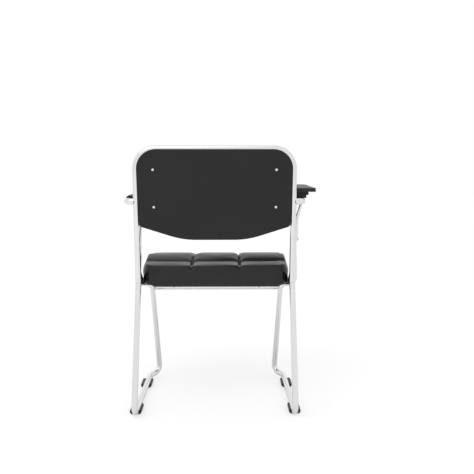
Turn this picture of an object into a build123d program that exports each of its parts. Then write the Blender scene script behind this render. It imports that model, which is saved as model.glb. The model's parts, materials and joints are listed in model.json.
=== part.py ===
"""Tablet arm chair on a chromed sled frame.

Millimetres. +X is the sitter's left, -Y the front, +Z up. The pieces are drawn from a point on
the floor, in the middle plane, below the knees where the rear legs turn into the back uprights.
The files are written with the origin at the bottom centre of the box around the whole chair.
"""

import os
from math import cos, radians, sin, tan

from build123d import *

os.makedirs("parts", exist_ok=True)

SIDES = {"left": 1, "right": -1}

# Frame tube
tube_d = 19.0
tube_wall = 1.5
frame_half = 244.5
glide_base = 5.0
head_taper = 20.0
recess_length_share = 0.55
recess_width_share = 0.14
recess_depth_share = 0.5

# Rear legs, runners and back loop
knee_z = 392.0
knee_r = 80.0
rear_foot_y = 152.0
rear_foot_r = 25.0
runner_weld_y = -110.0
upright_weld = 45.0
back_lean = 9.0
back_height = 430.0
loop_corner_r = 62.0
loop_taper = 4.0

# Front legs, with the step under the seat and the turn at the floor
step_y = -213.0
step_z = 354.0
step_r = 22.0
step_in = 48.5
leg_splay = 16.0
leg_foot_y = -286.0
leg_foot_rise = 5.5
leg_foot_r = 24.0
runner_turn_y = -243.0
runner_turn_r = 60.0
runner_toe = 6.0
cross_tube_drop = 13.0

# Arms
arm_out = 28.0
arm_z = 655.0
arm_front_y = -296.0
arm_front_r = 45.0
arm_rear_r = 20.0
post_weld_rise = 70.0

# Glides clipped under the runners
glide_width = 36.0
glide_length = 70.0
glide_grip = 0.5
glide_edge_r = 6.0
glide_out = 3.0
glide_sole_chamfer = 6.0
glide_ys = {"rear": 73.0, "front": -180.0}

# Seat board and cushion
seat_z = 382.0
board_side_gap = 39.5
board_depth = 390.0
board_thick = 12.0
board_corner_r = 55.0
board_rear_y = -24.0
cushion_overhang = 27.0
cushion_thick = 79.0
cushion_crown = 4.0
cushion_columns = 3
cushion_rows = 5
cushion_bulge_share = 0.45
cushion_tuck = 9.0
cushion_shoulder = 11.0
cushion_top_bow = 1.0
seam_r = 8.0
seam_bend_r = 25.0
pocket_gap = 0.3

# Seat supports and rear brackets
plate_thick = 4.0
support_inset = 75.0
support_length = 60.0
support_width = 40.0
bracket_weld = 6.5
bracket_reach = 92.0
bracket_flange = 37.0
bracket_rise = 46.0
bracket_nose = 8.0
bracket_neck = 20.0
flange_inset = 40.0
bracket_screw_inset = 25.0
seat_screw_d = 6.0
seat_screw_head_d = 12.0
seat_screw_head = 4.0
seat_screw_bite = 9.0
screw_gap = 0.3

# Back shell, board and cushion, measured in the plane of the loop
shell_top_gap = 2.6
shell_low_gap = 10.5
shell_top_drop = 1.0
shell_low_corner = 190.0
shell_bottom = 146.5
shell_flat_half = 100.0
shell_top_r = 60.0
shell_low_r = 14.0
shell_bow_r = 260.0
shell_thick = 3.0
shell_edge_r = 1.5
shell_wall = 2.5
shell_wall_gap = 0.5
shell_wall_depth = 10.0
boss_d = 14.0
back_screw_inset = 57.2
back_screw_low = 251.5
back_screw_high = 367.5
back_screw_d = 5.0
back_screw_head_d = 9.5
back_screw_head = 2.6
back_screw_recess = 0.8
back_board_thick = 8.0
back_board_inset = 12.0
back_pad_thick = 38.0
back_pad_edge = 14.0
back_rows = 3

# Left arm cap
cap_width = 22.0
cap_top = 15.5
cap_low = 5.0
cap_corner_r = 10.0
cap_end_r = 3.0
cap_rear_y = -30.0
cap_length = 225.0
cap_screw_inset = 40.0
cap_screw_d = 4.0
cap_screw_head_d = 8.0
cap_screw_head = 2.5
cap_screw_bite = 5.0

# Tablet hinge on the right arm
saddle_width = 33.0
saddle_low = 7.0
saddle_rear_y = -20.0
saddle_length = 110.0
pin_out = 19.0
pin_rise = 21.5
pin_d = 6.0
pin_head_d = 9.0
pin_head = 2.0
pin_running_gap = 0.05
lug_r = 5.2
lug_length = 28.0
lug_gap = 0.4
knuckle_r = 4.7
rest_gap = 1.0
plate_inset = 20.0
plate_over_pin = 0.1
buffer_d = 8.0
buffer_thick = 2.0
buffer_gap = 0.1
buffer_inset = 20.0
saddle_bolt_inset = 30.0
saddle_bolt_d = 6.0
saddle_bolt_head_d = 10.0
saddle_bolt_head = 4.0
saddle_bolt_bite = 7.0
tablet_screw_inset = 12.0
tablet_screw_d = 4.0
tablet_screw_head_d = 8.0
tablet_screw_bite = 7.0

# Tablet, its places forwards measured from the knees
tablet_thick = 12.0
tablet_skin = 3.0
tablet_rim = 4.0
tablet_rib = 2.0
tablet_rib_pitch = 42.0
tablet_overhang = 46.5
tablet_width = 339.0
tablet_elbow_width = 114.0
tablet_rear = 14.0
tablet_front = 345.0
tablet_near_inner = 190.0
tablet_near_elbow = 158.0
tablet_edge_r = 1.5
tablet_corner_rs = (8.0, 22.0, 60.0, 55.0, 70.0, 18.0)

# Brace rod under the right arm
brace_d = 10.0
brace_low = 136.0
brace_bend = 212.0
brace_bend_r = 40.0
brace_turn = 37.0
brace_top_y = 8.0
brace_gap = 0.1
brace_screw_rise = 7.0
brace_screw_d = 4.0
brace_screw_head_d = 7.0
brace_screw_head = 2.0
brace_screw_length = 12.0
arm_screw_angle = -42.0

# Worked out from the driving sizes
lean = radians(back_lean)
tube_r = tube_d / 2
arm_half = frame_half + arm_out
leg_top_half = arm_half - step_in
leg_foot_half = leg_top_half - leg_splay
board_width = 2 * (frame_half - board_side_gap)
support_half = board_width / 2 - support_inset
shell_top_half = frame_half - loop_taper - shell_top_gap
shell_low_half = frame_half - shell_low_gap
shell_top = back_height - shell_top_drop
shell_wall_inset = tube_r - shell_top_drop + shell_wall_gap
back_screw_half = frame_half - back_screw_inset
tablet_outer = arm_half + tablet_overhang
tablet_inner = tablet_outer - tablet_width
tablet_elbow_inner = tablet_outer - tablet_elbow_width
runner_z = glide_base + tube_r
arm_rear_y = (arm_z - knee_z) * tan(lean)
post_slope = (arm_front_y - step_y) / (arm_z - step_z)
cross_z = step_z - cross_tube_drop
cross_y = step_y + (leg_foot_y - step_y) * cross_tube_drop / (step_z - runner_z - leg_foot_rise)
back_plane = Plane(origin=(0, 0, knee_z), x_dir=(-1, 0, 0), z_dir=(0, cos(lean), -sin(lean)))
board_mid_y = board_rear_y - board_depth / 2
plate_z = seat_z - plate_thick
pin_u = arm_half + pin_out
pin_z = arm_z + pin_rise
hinge_plate_z = pin_z + plate_over_pin
tablet_z = pin_z + lug_r
saddle_top = hinge_plate_z - rest_gap
saddle_front_y = saddle_rear_y - saddle_length


def back_point(across, along, behind=0.0):
    """Point at a distance across, along and behind the plane of the back loop."""
    y = along * sin(lean) + behind * cos(lean)
    return (across, y, knee_z + along * cos(lean) - behind * sin(lean))


def cross_plane(y):
    """Upright plane across the chair, seen from behind: outwards right of the sitter, and up."""
    return Plane(origin=(0, y, 0), x_dir=(-1, 0, 0), z_dir=(0, 1, 0))


def plan_plane(z):
    """Level plane measured outwards on the sitter's right and forwards."""
    return Plane(origin=(0, 0, z), x_dir=(-1, 0, 0), z_dir=(0, 0, 1))


def sweep_round(route, diameter, mode=Mode.ADD):
    """Sweep a round section along straight runs joined by bends, inside the current part."""
    points, radii = route
    with BuildLine() as path:
        if radii:
            FilletPolyline(*points, radius=radii)
        else:
            Line(*points)
    with BuildSketch(Plane(origin=path.line @ 0, z_dir=path.line % 0)) as section:
        Circle(diameter / 2)
    sweep(section.sketch, path=path.line, mode=mode)


def sweep_tube(route):
    """Hollow frame tube along a route."""
    sweep_round(route, tube_d)
    sweep_round(route, tube_d - 2 * tube_wall, Mode.SUBTRACT)


def pan_screw(plane, diameter, length, head_d, head):
    """Pan head screw whose head stands on the plane and whose shank goes below it."""
    with BuildSketch(plane) as shank:
        Circle(diameter / 2)
    extrude(shank.sketch, amount=-length)
    with BuildSketch(plane) as rim:
        Circle(head_d / 2)
    extrude(rim.sketch, amount=head, taper=head_taper)
    with BuildSketch(plane.offset(head)) as recess:
        Rectangle(recess_length_share * head_d, recess_width_share * head_d)
        Rectangle(recess_width_share * head_d, recess_length_share * head_d)
    extrude(recess.sketch, amount=-recess_depth_share * head, mode=Mode.SUBTRACT)


pieces = {}


def save(part, name):
    """Keep a finished piece under its node name."""
    pieces[name] = part.part


def upright_half(along):
    """Half width between the uprights, which draw together towards the top."""
    return frame_half - loop_taper * along / back_height


def runner_half(y):
    """Half width between the runners, which toe in towards the front."""
    return frame_half - runner_toe * (rear_foot_y - y) / (rear_foot_y - runner_turn_y)


# Routes of the frame tubes
loop_route = (
    [
        back_point(upright_half(upright_weld), upright_weld),
        back_point(upright_half(back_height), back_height),
        back_point(-upright_half(back_height), back_height),
        back_point(-upright_half(upright_weld), upright_weld),
    ],
    [loop_corner_r, loop_corner_r],
)


def post_weld_point(side):
    """Butt weld between the front leg tube and the arm tube, on the front post."""
    return (side * arm_half, step_y + post_slope * post_weld_rise, step_z + post_weld_rise)


def sled_route(side):
    """Runner, rear bend, rear leg and knee."""
    x = side * frame_half
    points = [
        (side * runner_half(runner_weld_y), runner_weld_y, runner_z),
        (x, rear_foot_y, runner_z),
        (x, 0, knee_z),
        back_point(side * upright_half(upright_weld), upright_weld),
    ]
    return points, [rear_foot_r, knee_r]


def front_leg_route(side):
    """Foot of the front post, step under the seat, front leg and turn into the runner."""
    points = [
        post_weld_point(side),
        (side * arm_half, step_y, step_z),
        (side * leg_top_half, step_y, step_z),
        (side * leg_foot_half, leg_foot_y, runner_z + leg_foot_rise),
        (side * runner_half(runner_turn_y), runner_turn_y, runner_z),
        (side * runner_half(runner_weld_y), runner_weld_y, runner_z),
    ]
    return points, [step_r, step_r, leg_foot_r, runner_turn_r]


def arm_route(side):
    """Front post, arm and its turn into the back upright."""
    points = [
        post_weld_point(side),
        (side * arm_half, arm_front_y, arm_z),
        (side * arm_half, arm_rear_y, arm_z),
        (side * (frame_half + tube_r / 2), arm_rear_y, arm_z),
    ]
    return points, [arm_front_r, arm_rear_r]


cross_half = leg_top_half - tube_r / 2
cross_route = ([(-cross_half, cross_y, cross_z), (cross_half, cross_y, cross_z)], [])

# Lower brace screw: its axis runs from the upright through the rod
brace_reach = tube_r + brace_d / 2 + brace_gap
brace_out = brace_reach * cos(radians(brace_turn))
brace_forward = brace_reach * sin(radians(brace_turn))
brace_u = upright_half(brace_low) + brace_out
brace_route = (
    [
        back_point(-brace_u, brace_low, -brace_forward),
        back_point(-brace_u, brace_bend, -brace_forward),
        (-arm_half, brace_top_y, arm_z),
    ],
    [brace_bend_r],
)
rod_at_screw = Vector(*back_point(-brace_u, brace_low + brace_screw_rise, -brace_forward))
brace_screw_along = brace_low + brace_screw_rise
upright_at_screw = Vector(*back_point(-upright_half(brace_screw_along), brace_screw_along))
rod_out = (rod_at_screw - upright_at_screw).normalized()
rod_screw_plane = Plane(origin=rod_at_screw + rod_out * (brace_d / 2 - screw_gap), z_dir=rod_out)
arm_out = Vector(-cos(radians(arm_screw_angle)), 0, sin(radians(arm_screw_angle)))
arm_screw_plane = Plane(
    origin=Vector(-arm_half, brace_top_y, arm_z) + arm_out * (tube_r - screw_gap), z_dir=arm_out
)
brace_screw_planes = [rod_screw_plane, arm_screw_plane]


def bore(planes, diameter, depth):
    """Round holes going down from each plane, and clear above it."""
    for plane in planes:
        with BuildSketch(plane) as hole:
            Circle(diameter / 2)
        extrude(hole.sketch, amount=depth, both=True, mode=Mode.SUBTRACT)


def spot_face(plane, diameter):
    """Flat seat for a screw head, cut outwards from the plane."""
    with BuildSketch(plane) as seat:
        Circle(diameter / 2)
    extrude(seat.sketch, amount=diameter, mode=Mode.SUBTRACT)


# Screws that come up from under the arm tubes
under_arm_z = arm_z - tube_r
cap_screw_ys = [
    cap_rear_y - cap_screw_inset,
    cap_rear_y - cap_length + cap_screw_inset,
]
saddle_bolt_ys = [
    saddle_rear_y - saddle_bolt_inset,
    saddle_front_y + saddle_bolt_inset,
]


def up_planes(x, ys, z):
    """Planes that face down, one for each fastener driven up from below."""
    return [Plane(origin=(x, y, z), z_dir=(0, 0, -1)) for y in ys]


cap_screw_planes = up_planes(arm_half, cap_screw_ys, under_arm_z)
saddle_bolt_planes = up_planes(-arm_half, saddle_bolt_ys, under_arm_z)
cap_screw_length = tube_d + cap_screw_bite
saddle_bolt_length = tube_d + saddle_bolt_bite

# Back loop
with BuildPart() as back_loop:
    sweep_tube(loop_route)
    bore([rod_screw_plane], brace_screw_d + 2 * screw_gap, brace_screw_length + brace_d)
save(back_loop, "back_loop")

# Sled tubes, front legs and arms on both sides
for side_name, side in SIDES.items():
    with BuildPart() as sled:
        sweep_tube(sled_route(side))
    save(sled, f"sled_{side_name}")

    with BuildPart() as front_leg:
        sweep_tube(front_leg_route(side))
    save(front_leg, f"front_leg_{side_name}")

    with BuildPart() as arm:
        sweep_tube(arm_route(side))
        sweep_round(loop_route, tube_d, Mode.SUBTRACT)
        if side_name == "left":
            bore(cap_screw_planes, cap_screw_d + 2 * screw_gap, tube_d + cap_screw_bite)
        else:
            bore(saddle_bolt_planes, saddle_bolt_d + 2 * screw_gap, tube_d + saddle_bolt_bite)
            bore([arm_screw_plane], brace_screw_d + 2 * screw_gap, tube_r)
            spot_face(arm_screw_plane, brace_screw_head_d)
    save(arm, f"arm_{side_name}")

# Cross tube, coped to both front legs
with BuildPart() as cross_tube:
    sweep_tube(cross_route)
    for side in SIDES.values():
        sweep_round(front_leg_route(side), tube_d, Mode.SUBTRACT)
save(cross_tube, "cross_tube")

# Glides: blocks that grip the runner from below
for side_name, side in SIDES.items():
    for end_name, glide_y in glide_ys.items():
        with BuildPart() as glide:
            with BuildSketch(Plane.XY):
                with Locations((side * (runner_half(glide_y) + glide_out), glide_y)):
                    RectangleRounded(glide_width, glide_length, glide_edge_r)
            extrude(amount=runner_z - glide_grip)
            fillet(glide.edges().group_by(Axis.Z)[-1], glide_edge_r / 2)
            chamfer(glide.edges().group_by(Axis.Z)[0], glide_sole_chamfer)
            runner_ys = (glide_y - glide_length, glide_y + glide_length)
            runner = [(side * runner_half(y), y, runner_z) for y in runner_ys]
            sweep_round((runner, []), tube_d, Mode.SUBTRACT)
        save(glide, f"glide_{end_name}_{side_name}")

# Places of the seat screws: two on the supports, two on the rear brackets
bracket_screw_x = board_width / 2 - bracket_screw_inset
bracket_screw_y = bracket_flange / 2 - bracket_reach
seat_screw_spots = [(side * support_half, cross_y) for side in SIDES.values()]
seat_screw_spots += [(side * bracket_screw_x, bracket_screw_y) for side in SIDES.values()]


def seat_screw_planes(z):
    """Planes under the seat at each screw."""
    return [Plane(origin=(x, y, z), z_dir=(0, 0, -1)) for x, y in seat_screw_spots]


# Seat board
with BuildPart() as seat_board:
    with BuildSketch(Plane.XY.offset(seat_z)):
        with Locations((0, board_mid_y)):
            RectangleRounded(board_width, board_depth, board_corner_r)
    extrude(amount=board_thick)
    bore(seat_screw_planes(seat_z), seat_screw_d + 2 * screw_gap, seat_screw_bite + screw_gap)
save(seat_board, "seat_board")

# Cushion: lofted from cross sections that lie behind one another, with a crown and drawn-in sides
cushion_half = board_width / 2 + cushion_overhang
cushion_rear_y = board_rear_y + cushion_overhang / 2
cushion_depth = board_depth + cushion_overhang
cushion_front_y = cushion_rear_y - cushion_depth

cushion_stations = [
    (0.0, 0.86, 0.79, 0.0),
    (0.04, 0.965, 0.87, 0.5),
    (0.12, 1.0, 0.945, 0.9),
    (0.3, 1.0, 1.0, 1.0),
    (0.42, 1.0, 0.995, 1.0),
    (0.6, 1.0, 0.92, 1.0),
    (0.8, 1.0, 0.79, 0.8),
    (0.95, 0.985, 0.63, 0.4),
    (1.0, 0.93, 0.43, 0.0),
]


def cushion_profile(station):
    """Place, half width, edge height and middle height of one cross section."""
    share, width, height, crown = station
    edge_z = seat_z + cushion_thick * height
    top_z = edge_z + cushion_crown * crown + cushion_top_bow
    return cushion_rear_y - cushion_depth * share, cushion_half * width, edge_z, top_z


def cushion_height(share):
    """Edge and middle height at a share of the depth, between the stations on either side."""
    for before, after in zip(cushion_stations, cushion_stations[1:]):
        if before[0] <= share <= after[0]:
            part = (share - before[0]) / (after[0] - before[0])
            low, high = cushion_profile(before), cushion_profile(after)
            return low[2] + part * (high[2] - low[2]), low[3] + part * (high[3] - low[3])


with BuildPart() as seat_cushion:
    for station in cushion_stations:
        y, half, edge_z, top_z = cushion_profile(station)
        low = (half - cushion_tuck, seat_z + pocket_gap)
        middle = (half, seat_z + (edge_z - seat_z) * cushion_bulge_share)
        shoulder = (half - cushion_shoulder, edge_z)
        with BuildSketch(Plane.XZ.offset(-y)):
            with BuildLine():
                Line((-low[0], low[1]), low)
                ThreePointArc(low, middle, shoulder)
                ThreePointArc(shoulder, (0, top_z), (-shoulder[0], edge_z))
                ThreePointArc((-shoulder[0], edge_z), (-middle[0], middle[1]), (-low[0], low[1]))
            make_face()
    loft()
    # Sewn channels along the top between the columns, then across it between the rows
    for column in range(1, cushion_columns):
        x = 2 * cushion_half * (column / cushion_columns - 0.5)
        seam_points = []
        for station in cushion_stations:
            y, half, edge_z, top_z = cushion_profile(station)
            drop = (x / (half - cushion_shoulder)) ** 2
            seam_points.append((x, y, top_z - (top_z - edge_z) * drop))
        with BuildLine() as seam:
            FilletPolyline(*seam_points, radius=seam_bend_r)
        with BuildSketch(Plane(origin=seam.line @ 0, z_dir=seam.line % 0)):
            Circle(seam_r)
        sweep(path=seam.line, mode=Mode.SUBTRACT)
    for row in range(1, cushion_rows):
        y = cushion_rear_y - cushion_depth * row / cushion_rows
        edge_z, top_z = cushion_height(row / cushion_rows)
        with BuildLine() as seam:
            ThreePointArc(
                (-cushion_half, y, edge_z - seam_r),
                (0, y, top_z),
                (cushion_half, y, edge_z - seam_r),
            )
        with BuildSketch(Plane(origin=seam.line @ 0, z_dir=seam.line % 0)):
            Circle(seam_r)
        sweep(path=seam.line, mode=Mode.SUBTRACT)
    # Pocket for the board
    with BuildSketch(Plane.XY.offset(seat_z)):
        with Locations((0, board_mid_y)):
            pocket_r = board_corner_r + pocket_gap
            RectangleRounded(board_width + 2 * pocket_gap, board_depth + 2 * pocket_gap, pocket_r)
    extrude(amount=board_thick + pocket_gap, mode=Mode.SUBTRACT)
save(seat_cushion, "seat_cushion")

# Seat supports on the cross tube and brackets at the knees
for side_name, side in SIDES.items():
    with BuildPart() as support:
        with BuildSketch(Plane.XY.offset(plate_z)):
            with Locations((side * support_half, cross_y)):
                RectangleRounded(support_width, support_length, plate_thick)
        extrude(amount=plate_thick)
        with BuildSketch(Plane.YZ.offset(side * (support_half + support_width / 2))):
            with BuildLine():
                Polyline(
                    (cross_y - support_length / 2 + plate_thick, plate_z),
                    (cross_y + support_length / 2 - plate_thick, plate_z),
                    (cross_y + tube_r, cross_z),
                    (cross_y - tube_r, cross_z),
                    close=True,
                )
            make_face()
        extrude(amount=-side * plate_thick)
        sweep_round(cross_route, tube_d, Mode.SUBTRACT)
        bore(seat_screw_planes(plate_z), seat_screw_d + 2 * screw_gap, plate_thick + screw_gap)
    save(support, f"seat_support_{side_name}")

    with BuildPart() as bracket:
        weld_x = frame_half - tube_r + bracket_weld
        with BuildSketch(Plane.YZ.offset(side * weld_x)):
            with BuildLine():
                Polyline(
                    (bracket_rise * tan(lean), plate_z + bracket_rise),
                    (-bracket_neck, plate_z + bracket_rise),
                    (-bracket_reach, plate_z + bracket_nose),
                    (-bracket_reach, plate_z),
                    (bracket_flange - bracket_reach, plate_z),
                    (0, plate_z + bracket_neck),
                    close=True,
                )
            make_face()
        extrude(amount=-side * plate_thick)
        with BuildSketch(Plane.XY.offset(plate_z)):
            flange_inner = board_width / 2 - flange_inset
            with Locations((side * (weld_x + flange_inner) / 2, bracket_screw_y)):
                Rectangle(weld_x - flange_inner, bracket_flange)
        extrude(amount=plate_thick)
        sweep_round(sled_route(side), tube_d, Mode.SUBTRACT)
        bore(seat_screw_planes(plate_z), seat_screw_d + 2 * screw_gap, plate_thick + screw_gap)
    save(bracket, f"seat_bracket_{side_name}")

# Seat screws
with BuildPart() as seat_screws:
    for plane in seat_screw_planes(plate_z):
        pan_screw(plane, seat_screw_d, plate_thick + seat_screw_bite, seat_screw_head_d, seat_screw_head)
save(seat_screws, "seat_screws")


def back_outline(inset, behind):
    """Outline of the back drawn in by inset, on the plane at a distance behind the loop."""
    top_half = shell_top_half - inset
    low_half = shell_low_half - inset
    top = shell_top - inset
    low_corner = shell_low_corner + inset
    bottom = shell_bottom + inset
    half_outline = [(shell_flat_half, bottom), (low_half, low_corner), (top_half, top)]
    radii = [shell_bow_r, shell_low_r, max(shell_top_r - inset, shell_low_r)]
    with BuildSketch(back_plane.offset(behind)) as outline:
        with BuildLine():
            FilletPolyline(
                *half_outline,
                *[(-across, along) for across, along in reversed(half_outline)],
                radius=radii + radii[::-1],
                close=True,
            )
        make_face()
    return outline.sketch


back_screw_spots = [
    (across, along)
    for across in (-back_screw_half, back_screw_half)
    for along in (back_screw_low, back_screw_high)
]


def back_screw_planes(behind):
    """Planes square to the back at each screw."""
    return [
        Plane(origin=back_point(across, along, behind), x_dir=(-1, 0, 0), z_dir=back_plane.z_dir)
        for across, along in back_screw_spots
    ]


# Back shell: a thin panel on the rear of the loop, with a wall inside the loop and screw bosses
shell_rear = tube_r + shell_thick
with BuildPart() as back_shell:
    extrude(back_outline(0, tube_r), amount=shell_thick)
    rear_face = back_shell.faces().sort_by(Axis(back_plane.origin, back_plane.z_dir))[-1]
    fillet(rear_face.edges(), shell_edge_r)
    extrude(back_outline(shell_wall_inset, tube_r), amount=-shell_wall_depth)
    wall_inner = back_outline(shell_wall_inset + shell_wall, tube_r)
    extrude(wall_inner, amount=-shell_wall_depth, mode=Mode.SUBTRACT)
    with BuildSketch(back_plane.offset(tube_r)):
        with Locations(*back_screw_spots):
            Circle(boss_d / 2)
    extrude(amount=-tube_d)
    bore(back_screw_planes(tube_r), back_screw_d + 2 * screw_gap, tube_d + shell_thick)
    bore(back_screw_planes(shell_rear), back_screw_head_d + 4 * screw_gap, back_screw_recess)
save(back_shell, "back_shell")

# Back board in front of the loop
with BuildPart() as back_board:
    extrude(back_outline(back_board_inset, -tube_r), amount=-back_board_thick)
    bore(back_screw_planes(-tube_r), back_screw_d + 2 * screw_gap, back_board_thick)
save(back_board, "back_board")

# Back cushion: lofted from outlines one in front of another, sewn like the seat
pad_front = -tube_r - back_pad_thick
with BuildPart() as back_cushion:
    pad_sections = [
        back_outline(back_pad_edge / 2, -tube_r - pocket_gap),
        back_outline(0, -tube_r - back_pad_edge),
        back_outline(back_pad_edge / 2, -tube_r - 2 * back_pad_edge),
        back_outline(3 * back_pad_edge, pad_front),
    ]
    loft(pad_sections)
    for column in range(1, cushion_columns):
        across = 2 * shell_top_half * (column / cushion_columns - 0.5)
        seam_ends = [back_point(across, along, pad_front) for along in (0, back_height)]
        sweep_round((seam_ends, []), 2 * seam_r, Mode.SUBTRACT)
    for row in range(1, back_rows):
        along = shell_bottom + (shell_top - shell_bottom) * row / back_rows
        seam_ends = [back_point(across, along, pad_front) for across in (-frame_half, frame_half)]
        sweep_round((seam_ends, []), 2 * seam_r, Mode.SUBTRACT)
    pocket = back_outline(back_board_inset - pocket_gap, -tube_r)
    extrude(pocket, amount=-back_board_thick - pocket_gap, mode=Mode.SUBTRACT)
save(back_cushion, "back_cushion")

# Back screws
back_screw_length = shell_thick - back_screw_recess + tube_d + back_board_thick
with BuildPart() as back_screws:
    for plane in back_screw_planes(shell_rear - back_screw_recess):
        pan_screw(plane, back_screw_d, back_screw_length, back_screw_head_d, back_screw_head)
save(back_screws, "back_screws")

# Left arm cap: a moulded saddle over the arm tube
with BuildPart() as left_arm_cap:
    with BuildSketch(cross_plane(cap_rear_y - cap_length)) as cap_section:
        with Locations((-arm_half, arm_z + (cap_top + cap_low) / 2)):
            Rectangle(cap_width, cap_top - cap_low)
        fillet(cap_section.vertices().group_by(Axis.Y)[-1], cap_corner_r)
    extrude(amount=cap_length)
    for end in (0, -1):
        end_face = left_arm_cap.faces().sort_by(Axis.Y)[end]
        fillet(end_face.edges().group_by(Axis.Z)[-1], cap_end_r)
    sweep_round(arm_route(SIDES["left"]), tube_d, Mode.SUBTRACT)
    bore(cap_screw_planes, cap_screw_d + 2 * screw_gap, cap_screw_length + screw_gap)
save(left_arm_cap, "left_arm_cap")

with BuildPart() as cap_screws:
    for plane in cap_screw_planes:
        pan_screw(plane, cap_screw_d, cap_screw_length, cap_screw_head_d, cap_screw_head)
save(cap_screws, "cap_screws")

# Hinge: places along the pin, from the rear end to the front end
knuckle_rear_y = saddle_rear_y - lug_length
knuckle_front_y = saddle_front_y + lug_length


def along_pin(rear_y, front_y):
    """Straight route on the hinge axis."""
    return ([(-pin_u, rear_y, pin_z), (-pin_u, front_y, pin_z)], [])


lug_spans = [(saddle_rear_y, knuckle_rear_y), (knuckle_front_y, saddle_front_y)]
buffer_spots = [
    (-arm_half, saddle_rear_y - buffer_inset),
    (-arm_half, saddle_front_y + buffer_inset),
]
buffer_top = hinge_plate_z - buffer_gap

# Saddle block on the arm tube, with the fixed knuckle
with BuildPart() as tablet_saddle:
    with BuildSketch(cross_plane(saddle_front_y)):
        with Locations((arm_half, (arm_z + saddle_low + saddle_top) / 2)):
            Rectangle(saddle_width, saddle_top - arm_z - saddle_low)
    extrude(amount=saddle_length)
    for rear_y, front_y in lug_spans:
        sweep_round(along_pin(rear_y, front_y), 2 * (lug_r + lug_gap), Mode.SUBTRACT)
    sweep_round(along_pin(knuckle_rear_y - lug_gap, knuckle_front_y + lug_gap), 2 * knuckle_r)
    sweep_round(along_pin(saddle_rear_y, saddle_front_y), pin_d, Mode.SUBTRACT)
    sweep_round(arm_route(SIDES["right"]), tube_d, Mode.SUBTRACT)
    bore(saddle_bolt_planes, saddle_bolt_d + 2 * screw_gap, saddle_bolt_length + screw_gap)
    with BuildSketch(Plane.XY.offset(buffer_top)):
        with Locations(*buffer_spots):
            Circle(buffer_d / 2)
    extrude(amount=-buffer_thick, mode=Mode.SUBTRACT)
save(tablet_saddle, "tablet_saddle")

with BuildPart() as rest_buffers:
    with BuildSketch(Plane.XY.offset(buffer_top)):
        with Locations(*buffer_spots):
            Circle(buffer_d / 2)
    extrude(amount=-buffer_thick)
save(rest_buffers, "rest_buffers")

with BuildPart() as saddle_bolts:
    for plane in saddle_bolt_planes:
        pan_screw(plane, saddle_bolt_d, saddle_bolt_length, saddle_bolt_head_d, saddle_bolt_head)
save(saddle_bolts, "saddle_bolts")

# Hinge pin, pressed into the knuckle, with a head beyond each lug
with BuildPart() as hinge_pin:
    sweep_round(along_pin(saddle_rear_y + lug_gap, saddle_front_y - lug_gap), pin_d)
    sweep_round(along_pin(saddle_rear_y + lug_gap + pin_head, saddle_rear_y + lug_gap), pin_head_d)
    sweep_round(along_pin(saddle_front_y - lug_gap, saddle_front_y - lug_gap - pin_head), pin_head_d)
save(hinge_pin, "hinge_pin")

# Hinge plate under the tablet, with a lug at each end of the knuckle
plate_inner = arm_half - plate_inset
tablet_screw_spots = [
    (-u, y)
    for u in (plate_inner + tablet_screw_inset / 2, pin_u - tablet_screw_inset)
    for y in (saddle_rear_y - tablet_screw_inset, saddle_front_y + tablet_screw_inset)
]


def tablet_screw_planes(z):
    """Planes that face down at each tablet screw."""
    return [Plane(origin=(x, y, z), z_dir=(0, 0, -1)) for x, y in tablet_screw_spots]


with BuildPart() as hinge_plate:
    with BuildSketch(cross_plane(saddle_front_y)):
        with Locations(((plate_inner + pin_u) / 2, (hinge_plate_z + tablet_z) / 2)):
            Rectangle(pin_u - plate_inner, tablet_z - hinge_plate_z)
    extrude(amount=saddle_length)
    for rear_y, front_y in lug_spans:
        sweep_round(along_pin(rear_y, front_y), 2 * lug_r)
    with BuildSketch(cross_plane(knuckle_front_y)):
        with Locations((pin_u, pin_z)):
            Rectangle(2 * (knuckle_r + lug_gap), 4 * lug_r)
    extrude(amount=knuckle_rear_y - knuckle_front_y, mode=Mode.SUBTRACT)
    sweep_round(along_pin(saddle_rear_y, saddle_front_y), pin_d + 2 * pin_running_gap, Mode.SUBTRACT)
    with Locations(*tablet_screw_planes(hinge_plate_z)):
        CounterSinkHole(tablet_screw_d / 2 + screw_gap, tablet_screw_head_d / 2 + screw_gap)
save(hinge_plate, "hinge_plate")

# Tablet: a moulded board with a rim and crossed ribs below, solid over the hinge plate
tablet_corners = [
    (tablet_outer, tablet_rear),
    (tablet_outer, tablet_front),
    (tablet_inner, tablet_front),
    (tablet_inner, tablet_near_inner),
    (tablet_elbow_inner, tablet_near_elbow),
    (tablet_elbow_inner, tablet_rear),
]


def tablet_outline():
    """Plan of the tablet on the plane of its underside."""
    with BuildSketch(plan_plane(tablet_z)) as outline:
        with BuildLine():
            FilletPolyline(*tablet_corners, radius=tablet_corner_rs, close=True)
        make_face()
    return outline.sketch


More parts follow.
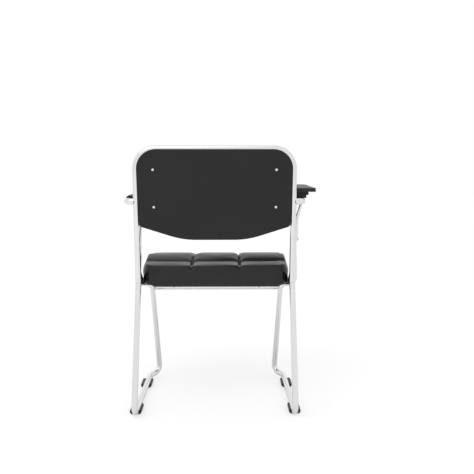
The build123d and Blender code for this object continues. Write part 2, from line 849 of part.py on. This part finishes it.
tablet_hollow = tablet_thick - tablet_skin
with BuildPart() as tablet:
    extrude(tablet_outline(), amount=tablet_thick)
    fillet(tablet.faces().sort_by(Axis.Z)[-1].edges(), tablet_edge_r)
    hollow = offset(tablet_outline(), amount=-tablet_rim, mode=Mode.PRIVATE)
    extrude(hollow, amount=tablet_hollow, mode=Mode.SUBTRACT)
    with BuildSketch(plan_plane(tablet_z)):
        span = tablet_outer - tablet_inner
        for step in range(1, int(span / tablet_rib_pitch) + 1):
            with Locations((tablet_outer - step * tablet_rib_pitch, (tablet_rear + tablet_front) / 2)):
                Rectangle(tablet_rib, tablet_front - tablet_rear)
        for step in range(1, int((tablet_front - tablet_rear) / tablet_rib_pitch) + 1):
            with Locations(((tablet_outer + tablet_inner) / 2, tablet_rear + step * tablet_rib_pitch)):
                Rectangle(span, tablet_rib)
        with Locations(((plate_inner + pin_u) / 2, -(saddle_rear_y + saddle_front_y) / 2)):
            Rectangle(pin_u - plate_inner + 2 * tablet_rim, saddle_length + 2 * tablet_rim)
        with BuildLine():
            FilletPolyline(*tablet_corners, radius=tablet_corner_rs, close=True)
        make_face(mode=Mode.INTERSECT)
    extrude(amount=tablet_hollow)
    bore(tablet_screw_planes(tablet_z), tablet_screw_d + 2 * screw_gap, tablet_screw_bite + screw_gap)
save(tablet, "tablet")

# Countersunk tablet screws
screw_cone = (tablet_screw_head_d - tablet_screw_d) / 2
with BuildPart() as tablet_screws:
    for x, y in tablet_screw_spots:
        with BuildSketch(Plane(origin=(x, y, 0), x_dir=(1, 0, 0), z_dir=(0, -1, 0))) as half_screw:
            with BuildLine():
                Polyline(
                    (0, hinge_plate_z),
                    (tablet_screw_head_d / 2, hinge_plate_z),
                    (tablet_screw_d / 2, hinge_plate_z + screw_cone),
                    (tablet_screw_d / 2, tablet_z + tablet_screw_bite),
                    (0, tablet_z + tablet_screw_bite),
                    close=True,
                )
            make_face()
        revolve(axis=Axis((x, y, 0), (0, 0, 1)))
save(tablet_screws, "tablet_screws")

# Brace rod from the right upright to the underside of the right arm
with BuildPart() as tablet_brace:
    sweep_round(brace_route, brace_d)
    sweep_round(arm_route(SIDES["right"]), tube_d, Mode.SUBTRACT)
    bore([rod_screw_plane], brace_screw_d + 2 * screw_gap, brace_d)
    spot_face(rod_screw_plane, brace_screw_head_d)
save(tablet_brace, "tablet_brace")

with BuildPart() as brace_screws:
    for plane in brace_screw_planes:
        pan_screw(plane, brace_screw_d, brace_screw_length, brace_screw_head_d, brace_screw_head)
save(brace_screws, "brace_screws")

# Files, with the origin moved to the bottom centre of the whole chair
middle = Compound(list(pieces.values())).bounding_box().center()
for name, piece in pieces.items():
    placed = piece.moved(Location((-middle.X, -middle.Y, 0)))
    placed.label = name
    export_step(placed, f"parts/{name}.step")
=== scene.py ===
"""Looks of the tablet arm chair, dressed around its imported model. Metres, in the row frame."""

import json
import math

import bpy
import numpy as np
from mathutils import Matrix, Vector


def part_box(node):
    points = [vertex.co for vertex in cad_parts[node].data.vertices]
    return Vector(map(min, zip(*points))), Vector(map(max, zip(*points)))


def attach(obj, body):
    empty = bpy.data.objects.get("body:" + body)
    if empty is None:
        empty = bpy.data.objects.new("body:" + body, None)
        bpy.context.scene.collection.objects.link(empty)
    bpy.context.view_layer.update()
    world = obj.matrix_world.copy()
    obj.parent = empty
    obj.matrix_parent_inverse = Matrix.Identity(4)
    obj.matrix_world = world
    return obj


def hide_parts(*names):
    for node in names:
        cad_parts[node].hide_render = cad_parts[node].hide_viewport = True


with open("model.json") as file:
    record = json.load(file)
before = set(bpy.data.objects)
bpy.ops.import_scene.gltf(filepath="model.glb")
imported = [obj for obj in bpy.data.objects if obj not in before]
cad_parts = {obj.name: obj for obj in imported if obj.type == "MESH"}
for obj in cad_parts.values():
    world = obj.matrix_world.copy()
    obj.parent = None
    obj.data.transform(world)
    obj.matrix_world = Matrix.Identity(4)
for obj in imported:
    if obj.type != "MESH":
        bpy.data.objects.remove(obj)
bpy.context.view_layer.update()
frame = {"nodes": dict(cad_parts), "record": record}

scene = bpy.context.scene
scene.view_settings.view_transform = "Standard"

# Camera fitted to the photograph; its angles in degrees
IMAGE_SIDE = 474
CAMERA_AT = (-0.01985, 2.32801, 0.7857)
CAMERA_PITCH = 6.40
CAMERA_YAW = 0.81
FOCAL_PIXELS = 697.3
SENSOR_WIDTH = 36

# Studio
FLOOR_SIZE = 24
FLOOR_GLOW = 1.06
FLOOR_GLOW_SHARE = 0.6
LAMP_AT = (1.2, 1.6, 3.0)
LAMP_AIM = (0, 0, 0.5)
LAMP_SIZE = 2.5
LAMP_POWER = 25

# Noise textures keep mostly to these values
NOISE_LOW = 0.3
NOISE_HIGH = 0.7
CLOUD_LIGHTER = 1.25
CLOUD_ROUGHER = 0.05

# Sewn columns and rows of both cushions
COLUMNS = 3
SEAT_ROWS = 5
BACK_ROWS = 3
BACK_LEAN = math.radians(9)

# Pad meshes, and the solids' channels that are filled up in them
VOXEL = 0.005
CELL = 0.006
CELLS_AROUND = 2
BELOW_ALL = -1.0
ABOVE_ALL = 9.0
CHANNEL_HALF = 0.011
CHANNEL_DEPTH = 0.014
CHANNEL_FACING = 0.1
CHANNEL_TO_RIM = 0.008
RELAX_SHARE = 0.5
RELAX_ROUNDS = 24

# Panels: how their edges round down to the seams, less so near the rim
PANEL_ROUND = 0.020
RIM_EASE = 0.05
PANEL_AT_RIM = 0.3
SEAT_PLUMP = 0.006
BACK_PLUMP = 0.010

# Cloth: how far it may swell the pads, and its share at the sides and at the held rim
SEAT_SWELL = 0.003
BACK_SWELL = 0.004
SIDE_SWELL = 0.35
RIM_HELD = 0.9
CLOTH_FRAMES = 20
NO_LENGTH = 1e-9

# Sewn seams, with the puckers of their thread
SEAM_HALF = 0.0028
SEAM_DEPTH = 0.007
SEAM_AT_RIM = 0.5
PUCKER_LENGTH = 0.022
PUCKER_SHARE = 0.2

# Ranges that effects fade over, first by how much the surface faces out (1 is straight out)
TOP_FACING = (0.3, 0.8)
SEWN_FACING = (0.15, 0.5)
RIM_FACING_LOW = (0.2, 0.4)
RIM_FACING_HIGH = (0.7, 0.9)
SHOULDER_FACING_LOW = (0.15, 0.4)
SHOULDER_FACING_HIGH = (0.75, 0.95)
# by the outward level
RELAXED_LEVEL = (0.012, 0.022)
COVERED_LEVEL = (0.002, 0.016)
LOW_SIDE_LEVEL = (0, 0.035)
HIGH_SIDE_LEVEL = (0.025, 0.05)
# by the distance from a seam
RELAXED_NEAR = (0.010, 0.018)
SEWN_NEAR = (0.001, 0.005)
# and by the distance from the seat's middle
SHOULDER_ACROSS = (0.19, 0.21)
SIDE_ACROSS = (0.17, 0.21)

# Seat pad against its solid: the sides go out, the shoulders and the crest's ends go up
SIDE_OUT = 0.003
LOW_SIDE_OUT = 0.006
HIGH_SIDE_OUT = 0.003
SHOULDER_UP = 0.0025
CREST_END_UP = 0.0045
CREST_END_ACROSS = 0.21

# Distance in mm from the seat pad's rear edge, and how far in mm the pad lies below its solid there
SETTLED = [
    (0, 2), (10, 5), (20, 7.5), (35, 11), (50, 12.3), (65, 12.3), (80, 11.9), (95, 10), (110, 7.3),
    (125, 4.3), (140, 1.4), (155, -0.9), (167, -1.1), (180, 8), (205, 12), (230, 11.5), (270, 9),
    (310, 7.2), (350, 6), (417, 2),
]
MM = 1000


# Materials

def new_material(name, color, roughness, metallic=0.0, specular=0.5):
    """Principled material and its shader node."""
    made = bpy.data.materials.new(name)
    made.use_nodes = True
    shader = made.node_tree.nodes["Principled BSDF"]
    shader.inputs["Base Color"].default_value = (*color, 1)
    shader.inputs["Roughness"].default_value = roughness
    shader.inputs["Metallic"].default_value = metallic
    shader.inputs["Specular IOR Level"].default_value = specular
    return made, shader


def add_node(made, kind, **inputs):
    """New node with some of its inputs set by name."""
    node = made.node_tree.nodes.new(kind)
    for socket, value in inputs.items():
        node.inputs[socket.replace("_", " ")].default_value = value
    return node


def join(made, source, target):
    """Link two sockets."""
    made.node_tree.links.new(source, target)


def place_in_object(made, stretch=(1, 1, 1)):
    """Coordinates in metres that stay with the object, stretched along its axes."""
    place = made.node_tree.nodes.new("ShaderNodeTexCoord")
    mapping = add_node(made, "ShaderNodeMapping", Scale=stretch)
    join(made, place.outputs["Object"], mapping.inputs["Vector"])
    return mapping.outputs["Vector"]


def noise(made, place, scale, detail=3.0, rough=0.55):
    """Noise texture at a place."""
    node = add_node(made, "ShaderNodeTexNoise", Scale=scale, Detail=detail, Roughness=rough)
    join(made, place, node.inputs["Vector"])
    return node.outputs["Fac"]


def spread(made, value, low, high):
    """Noise value spread over a range."""
    node = add_node(
        made, "ShaderNodeMapRange",
        From_Min=NOISE_LOW, From_Max=NOISE_HIGH, To_Min=low, To_Max=high,
    )
    join(made, value, node.inputs["Value"])
    return node.outputs["Result"]


def tint(made, value, dark, light):
    """Colour between two shades, by a noise value."""
    ramp = made.node_tree.nodes.new("ShaderNodeValToRGB")
    first, last = ramp.color_ramp.elements
    first.position = NOISE_LOW
    last.position = NOISE_HIGH
    first.color = (*dark, 1)
    last.color = (*light, 1)
    join(made, value, ramp.inputs["Fac"])
    return ramp.outputs["Color"]


def raise_bump(made, shader, height, depth, strength):
    """Bump from a height value; depth in metres."""
    bump = add_node(made, "ShaderNodeBump", Strength=strength, Distance=depth)
    join(made, height, bump.inputs["Height"])
    join(made, bump.outputs["Normal"], shader.inputs["Normal"])


def plastic(name, shade, roughness, grain, depth, specular):
    """Moulded plastic with a fine spark-eroded grain and faint cloudiness."""
    made, shader = new_material(name, shade, roughness, specular=specular)
    place = place_in_object(made)
    cloud = noise(made, place, scale=9.0)
    lighter = tuple(CLOUD_LIGHTER * part for part in shade)
    rougher = spread(made, cloud, roughness - CLOUD_ROUGHER, roughness + CLOUD_ROUGHER)
    join(made, tint(made, cloud, shade, lighter), shader.inputs["Base Color"])
    join(made, rougher, shader.inputs["Roughness"])
    raise_bump(made, shader, noise(made, place, grain, detail=2.0), depth, strength=0.6)
    return made


def chrome():
    """Polished chrome with a little polishing haze."""
    made, shader = new_material("chrome", (0.74, 0.74, 0.75), roughness=0.07, metallic=1.0)
    place = place_in_object(made)
    haze = spread(made, noise(made, place, scale=25.0), 0.05, 0.12)
    join(made, haze, shader.inputs["Roughness"])
    ripple = noise(made, place, scale=40.0, detail=1.0)
    raise_bump(made, shader, ripple, depth=0.0002, strength=0.25)
    return made


def vinyl():
    """Upholstery vinyl: pebble grain, fine creases and a soft shine."""
    dark, light = (0.009, 0.009, 0.0095), (0.012, 0.012, 0.0125)
    made, shader = new_material("vinyl", dark, roughness=0.32, specular=0.3)
    place = place_in_object(made)
    cloud = noise(made, place, scale=14.0)
    join(made, tint(made, cloud, dark, light), shader.inputs["Base Color"])
    join(made, spread(made, cloud, 0.28, 0.36), shader.inputs["Roughness"])
    pebble = add_node(made, "ShaderNodeTexVoronoi", Scale=650.0)
    pebble.feature = "DISTANCE_TO_EDGE"
    join(made, place, pebble.inputs["Vector"])
    crease = noise(made, place, scale=160.0, detail=4.0)
    both = made.node_tree.nodes.new("ShaderNodeMath")
    both.operation = "ADD"
    join(made, pebble.outputs["Distance"], both.inputs[0])
    join(made, crease, both.inputs[1])
    raise_bump(made, shader, both.outputs["Value"], depth=0.00025, strength=0.5)
    return made


def black_board():
    """Plywood stained black: long grain on the faces and plies in the edges."""
    dark, light = (0.009, 0.009, 0.009), (0.020, 0.018, 0.016)
    made, shader = new_material("black_board", (0.012, 0.012, 0.012), roughness=0.6, specular=0.25)
    place = place_in_object(made, stretch=(60.0, 4.0, 700.0))
    grain = noise(made, place, scale=1.0, detail=6.0, rough=0.65)
    join(made, tint(made, grain, dark, light), shader.inputs["Base Color"])
    join(made, spread(made, grain, 0.5, 0.7), shader.inputs["Roughness"])
    raise_bump(made, shader, grain, depth=0.0003, strength=0.4)
    return made


def powder_coat():
    """Black powder coat with orange peel."""
    made, shader = new_material("powder_coat", (0.010, 0.010, 0.0105), roughness=0.42, specular=0.35)
    place = place_in_object(made)
    sheen = spread(made, noise(made, place, scale=30.0), 0.36, 0.48)
    join(made, sheen, shader.inputs["Roughness"])
    peel = noise(made, place, scale=420.0, detail=1.0)
    raise_bump(made, shader, peel, depth=0.0002, strength=0.5)
    return made


def zinc():
    """Bright zinc plate with fine turning marks."""
    made, shader = new_material("zinc", (0.72, 0.72, 0.73), roughness=0.25, metallic=1.0)
    place = place_in_object(made, stretch=(1.0, 1.0, 6.0))
    marks = noise(made, place, scale=500.0, detail=2.0)
    join(made, spread(made, marks, 0.18, 0.34), shader.inputs["Roughness"])
    raise_bump(made, shader, marks, depth=0.0001, strength=0.3)
    return made


def rubber():
    """Matt black rubber."""
    made, shader = new_material("rubber", (0.012, 0.012, 0.012), roughness=0.85, specular=0.2)
    grain = noise(made, place_in_object(made), scale=900.0, detail=2.0)
    raise_bump(made, shader, grain, depth=0.0002, strength=0.5)
    return made


FINISHES = {
    "chrome_tube": chrome(),
    "black_plastic": plastic(
        "black_plastic", (0.008, 0.008, 0.0085),
        roughness=0.45, grain=1100.0, depth=0.00015, specular=0.3,
    ),
    "back_plastic": plastic(
        "back_plastic", (0.011, 0.011, 0.0115),
        roughness=0.50, grain=900.0, depth=0.0002, specular=0.25,
    ),
    "tablet_plastic": plastic(
        "tablet_plastic", (0.016, 0.016, 0.0165),
        roughness=0.46, grain=1000.0, depth=0.00015, specular=0.3,
    ),
    "black_board": black_board(),
    "vinyl": vinyl(),
    "black_steel": powder_coat(),
    "screw_steel": zinc(),
    "buffer_rubber": rubber(),
}

# The hinge pin is shown black: the photograph has no bright end there
slot_of = {entry["node"]: entry["material_slot"] for entry in frame["record"]["subparts"]}
for node, piece in frame["nodes"].items():
    piece.data.materials.clear()
    finish = "black_steel" if node == "hinge_pin" else slot_of[node]
    piece.data.materials.append(FINISHES[finish])


# Soft pieces

def mesh_points(mesh):
    """Vertex positions as an array."""
    points = np.empty(3 * len(mesh.vertices))
    mesh.vertices.foreach_get("co", points)
    return points.reshape(-1, 3)


def mesh_normals(mesh):
    """Vertex normals as an array."""
    normals = np.empty(3 * len(mesh.vertices))
    mesh.vertex_normals.foreach_get("vector", normals)
    return normals.reshape(-1, 3)


def set_points(mesh, points):
    """Write vertex positions back."""
    mesh.vertices.foreach_set("co", points.ravel())
    mesh.update()


def freeze(piece):
    """Apply all modifiers of a piece to its mesh."""
    seen = piece.evaluated_get(bpy.context.evaluated_depsgraph_get())
    done = bpy.data.meshes.new_from_object(seen)
    piece.modifiers.clear()
    old = piece.data
    piece.data = done
    bpy.data.meshes.remove(old)


def fade(value, low, high):
    """Smooth step from 0 at low to 1 at high."""
    share = np.clip((value - low) / (high - low), 0, 1)
    return share * share * (3 - 2 * share)


def around(level, pick, outside):
    """Highest or lowest level of the cells around each cell."""
    padded = np.pad(level, CELLS_AROUND, constant_values=outside)
    wide, deep = level.shape
    steps = range(2 * CELLS_AROUND + 1)
    return pick.reduce([padded[i:i + wide, j:j + deep] for i in steps for j in steps])


def filled_level(across, along, out):
    """Outward level at each point with the solid's narrow channels filled up."""
    columns = (across - across.min()) / CELL
    rows = (along - along.min()) / CELL
    level = np.full((int(columns.max()) + 2, int(rows.max()) + 2), BELOW_ALL)
    np.maximum.at(level, (np.rint(columns).astype(int), np.rint(rows).astype(int)), out)
    level = around(around(level, np.maximum, BELOW_ALL), np.minimum, ABOVE_ALL)
    i, j = columns.astype(int), rows.astype(int)
    a, b = columns - i, rows - j
    low = level[i, j] * (1 - b) + level[i, j + 1] * b
    high = level[i + 1, j] * (1 - b) + level[i + 1, j + 1] * b
    return low * (1 - a) + high * a


def relax(mesh, points, share):
    """Smooth the points, each by its own share, towards their neighbours."""
    ends = np.empty(2 * len(mesh.edges), dtype=int)
    mesh.edges.foreach_get("vertices", ends)
    ends = ends.reshape(-1, 2)
    here, there = np.concatenate([ends, ends[:, ::-1]]).T
    total = len(points)
    count = np.bincount(here, minlength=total)[:, None]
    for _ in range(RELAX_ROUNDS):
        sums = [np.bincount(here, points[there, axis], total) for axis in range(3)]
        points = points + share[:, None] * (np.stack(sums, axis=1) / count - points)
    return points


def seam_distance(across, along, seams):
    """Distance from each point to the nearest sewn line."""
    columns = [abs(across - place) for place in seams[0]]
    rows = [abs(along - place) for place in seams[1]]
    return np.min(columns + rows, axis=0)


def rim_distance(across, along):
    """Distance from each point to the nearest side of the box around all of them."""
    beside = np.minimum(across - across.min(), across.max() - across)
    return np.minimum(beside, np.minimum(along - along.min(), along.max() - along))


def remeshed(name, node):
    """Copy of a soft solid with an even mesh."""
    piece = bpy.data.objects.new(name, frame["nodes"][node].data.copy())
    scene.collection.objects.link(piece)
    remesh = piece.modifiers.new("Voxels", "REMESH")
    remesh.mode = "VOXEL"
    remesh.voxel_size = VOXEL
    freeze(piece)
    return piece


def swell(piece, start, held, most):
    """Swell a piece by cloth pressure, each point by no more than its most."""
    group = piece.vertex_groups.new(name="held")
    for index, weight in enumerate(held):
        group.add([index], float(weight), "REPLACE")
    cloth = piece.modifiers.new("Cloth", "CLOTH")
    cloth.settings.quality = 5
    cloth.settings.mass = 0.3
    cloth.settings.tension_stiffness = 12
    cloth.settings.compression_stiffness = 12
    cloth.settings.bending_stiffness = 0.4
    cloth.settings.use_pressure = True
    cloth.settings.uniform_pressure_force = 4
    cloth.settings.effector_weights.gravity = 0
    cloth.settings.vertex_group_mass = "held"
    cloth.point_cache.frame_start = 1
    cloth.point_cache.frame_end = CLOTH_FRAMES
    for step in range(1, CLOTH_FRAMES + 1):
        scene.frame_set(step)
    freeze(piece)
    move = mesh_points(piece.data) - start
    length = np.linalg.norm(move, axis=1)
    move *= np.minimum(1, most / np.maximum(length, NO_LENGTH))[:, None]
    set_points(piece.data, start + move)
    scene.frame_set(1)


def sew(mesh, measure, seams):
    """Pull the seams in, with the small puckers that the thread leaves."""
    points = mesh_points(mesh)
    normals = mesh_normals(mesh)
    across, along, _, facing = measure(points, normals)
    near = seam_distance(across, along, seams)
    inside = rim_distance(across, along)
    ease = SEAM_AT_RIM + (1 - SEAM_AT_RIM) * fade(inside, 0, RIM_EASE)
    pucker = 1 + PUCKER_SHARE * np.sin(2 * math.pi * (across + along) / PUCKER_LENGTH)
    pull = np.exp(-((near / SEAM_HALF) ** 2)) * fade(facing, *SEWN_FACING)
    set_points(mesh, points - normals * (SEAM_DEPTH * ease * pull * pucker)[:, None])


def quilted(name, node, measure, outward, seams, plump, limit, reshape=None):
    """Padded copy of a soft solid: swollen by cloth pressure between its sewn seams.

    measure gives each point's across, along and outward coordinates and how much it faces out.
    seams holds the across and along places of the sewn lines.
    plump is the depth of the panels' rounding, and limit is the most that the cloth swells.
    """
    piece = remeshed(name, node)
    mesh = piece.data
    start = mesh_points(mesh)
    across, along, out, facing = measure(start, mesh_normals(mesh))
    near = seam_distance(across, along, seams)
    inside = rim_distance(across, along)

    # Fill the solid's wide channels, which the sewing then replaces
    gap = filled_level(across, along, out) - out
    channel = (near < CHANNEL_HALF) & (gap > 0) & (gap < CHANNEL_DEPTH)
    channel &= (facing > CHANNEL_FACING) & (inside > CHANNEL_TO_RIM)
    start += outward * np.where(channel, gap, 0)[:, None]
    beside = 1 - fade(near, *RELAXED_NEAR)
    start = relax(mesh, start, RELAX_SHARE * fade(out, *RELAXED_LEVEL) * beside)
    if reshape:
        start = reshape(start, facing)
    set_points(mesh, start)

    # Round the panels down to their seams
    normals = mesh_normals(mesh)
    _, _, out, facing = measure(start, normals)
    top = fade(facing, *TOP_FACING)
    ease = PANEL_AT_RIM + (1 - PANEL_AT_RIM) * fade(inside, 0, RIM_EASE)
    hollow = ease * (1 - np.clip(near / PANEL_ROUND, 0, 1)) ** 2
    start -= normals * (plump * hollow * top)[:, None]
    set_points(mesh, start)

    sewn = (1 - fade(near, *SEWN_NEAR)) * fade(facing, *SEWN_FACING)
    rim = fade(facing, *RIM_FACING_LOW) * (1 - fade(facing, *RIM_FACING_HIGH))
    covered = fade(out, *COVERED_LEVEL)
    held = np.maximum(np.maximum(sewn, RIM_HELD * rim), 1 - covered)
    swell(piece, start, held, limit * (SIDE_SWELL + (1 - SIDE_SWELL) * top))
    smooth = piece.modifiers.new("Subdivision", "SUBSURF")
    smooth.levels = smooth.render_levels = 1
    freeze(piece)
    sew(piece.data, measure, seams)
    piece.data.shade_smooth()

    piece.data.materials.clear()
    piece.data.materials.append(FINISHES["vinyl"])
    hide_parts(node)
    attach(piece, "chair")


def seam_places(low, high, count):
    """Places of the seams that divide a length into equal panels."""
    return [low + (high - low) * step / count for step in range(1, count)]


board_low, board_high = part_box("seat_board")
middle_x = (board_low.x + board_high.x) / 2
seat_low, seat_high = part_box("seat_cushion")


def measure_seat(points, normals):
    """Seat cushion coordinates: out is the height over its underside."""
    return points[:, 0], points[:, 1], points[:, 2] - seat_low.z, normals[:, 2]


def reshape_seat(points, facing):
    """Settle the rows, level the crest across, square the shoulders and fill out the sides."""
    points = points.copy()
    across = points[:, 0] - middle_x
    height = points[:, 2] - seat_low.z
    lift = np.clip(height / (seat_high.z - seat_low.z), 0, 1)
    drop = np.interp((seat_high.y - points[:, 1]) * MM, *np.transpose(SETTLED)) / MM
    drop -= CREST_END_UP * (across / CREST_END_ACROSS) ** 2
    shoulder = fade(facing, *SHOULDER_FACING_LOW) * (1 - fade(facing, *SHOULDER_FACING_HIGH))
    shoulder *= fade(abs(across), *SHOULDER_ACROSS)
    side = fade(abs(across), *SIDE_ACROSS) * np.sign(across)
    wider = SIDE_OUT + LOW_SIDE_OUT * (1 - fade(height, *LOW_SIDE_LEVEL))
    wider += HIGH_SIDE_OUT * fade(height, *HIGH_SIDE_LEVEL)
    points[:, 2] += SHOULDER_UP * shoulder - drop * lift
    points[:, 0] += side * wider
    return points


seat_seams = (
    seam_places(seat_low.x, seat_high.x, COLUMNS),
    seam_places(seat_low.y, seat_high.y, SEAT_ROWS),
)
upwards = np.array([0, 0, 1])
quilted(
    "seat_pad", "seat_cushion", measure_seat, upwards, seat_seams, SEAT_PLUMP, SEAT_SWELL, reshape_seat,
)

back_low, back_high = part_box("back_cushion")
_, backboard_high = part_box("back_board")
lean_up = np.array([0, math.sin(BACK_LEAN), math.cos(BACK_LEAN)])
lean_out = np.array([0, -math.cos(BACK_LEAN), math.sin(BACK_LEAN)])
board_level = np.array([middle_x, backboard_high.y, backboard_high.z]) @ lean_out


def measure_back(points, normals):
    """Back cushion coordinates: out is the distance in front of the board's box's upper rear edge."""
    return points[:, 0], points @ lean_up, points @ lean_out - board_level, normals @ lean_out


back_heights = mesh_points(frame["nodes"]["back_cushion"].data) @ lean_up
back_seams = (
    seam_places(back_low.x, back_high.x, COLUMNS),
    seam_places(back_heights.min(), back_heights.max(), BACK_ROWS),
)
quilted("back_pad", "back_cushion", measure_back, lean_out, back_seams, BACK_PLUMP, BACK_SWELL)


# Studio

def studio_floor():
    """White floor whose shade shows only softly to the camera."""
    bpy.ops.mesh.primitive_plane_add(size=FLOOR_SIZE)
    floor = bpy.context.object
    floor.name = "studio_floor"
    made, shader = new_material("studio_floor", (0.92, 0.92, 0.92), roughness=0.9, specular=0.0)
    path = made.node_tree.nodes.new("ShaderNodeLightPath")
    glow = add_node(made, "ShaderNodeEmission", Strength=FLOOR_GLOW)
    mix = made.node_tree.nodes.new("ShaderNodeMixShader")
    part = made.node_tree.nodes.new("ShaderNodeMath")
    part.operation = "MULTIPLY"
    part.inputs[1].default_value = FLOOR_GLOW_SHARE
    join(made, path.outputs["Is Camera Ray"], part.inputs[0])
    join(made, part.outputs["Value"], mix.inputs[0])
    join(made, shader.outputs["BSDF"], mix.inputs[1])
    join(made, glow.outputs["Emission"], mix.inputs[2])
    surface = made.node_tree.nodes["Material Output"].inputs["Surface"]
    join(made, mix.outputs["Shader"], surface)
    floor.data.materials.append(made)


def studio_light():
    """White surroundings and one large soft lamp above."""
    world = bpy.data.worlds.new("studio")
    scene.world = world
    world.use_nodes = True
    backdrop = world.node_tree.nodes["Background"]
    backdrop.inputs["Color"].default_value = (1, 1, 1, 1)
    backdrop.inputs["Strength"].default_value = 1.0
    lamp = bpy.data.lights.new("soft_lamp", "AREA")
    lamp.energy = LAMP_POWER
    lamp.size = LAMP_SIZE
    holder = bpy.data.objects.new("soft_lamp", lamp)
    holder.location = LAMP_AT
    aim = Vector(LAMP_AIM) - holder.location
    holder.rotation_euler = aim.to_track_quat("-Z", "Y").to_euler()
    scene.collection.objects.link(holder)


def photo_camera():
    """Camera at the photograph's place."""
    lens = bpy.data.cameras.new("photo_camera")
    lens.sensor_width = SENSOR_WIDTH
    lens.lens = FOCAL_PIXELS * lens.sensor_width / IMAGE_SIDE
    holder = bpy.data.objects.new("photo_camera", lens)
    holder.location = CAMERA_AT
    pitch, yaw = math.radians(90 - CAMERA_PITCH), math.radians(180 - CAMERA_YAW)
    holder.rotation_euler = (pitch, 0, yaw)
    scene.collection.objects.link(holder)
    scene.camera = holder


studio_floor()
studio_light()
photo_camera()
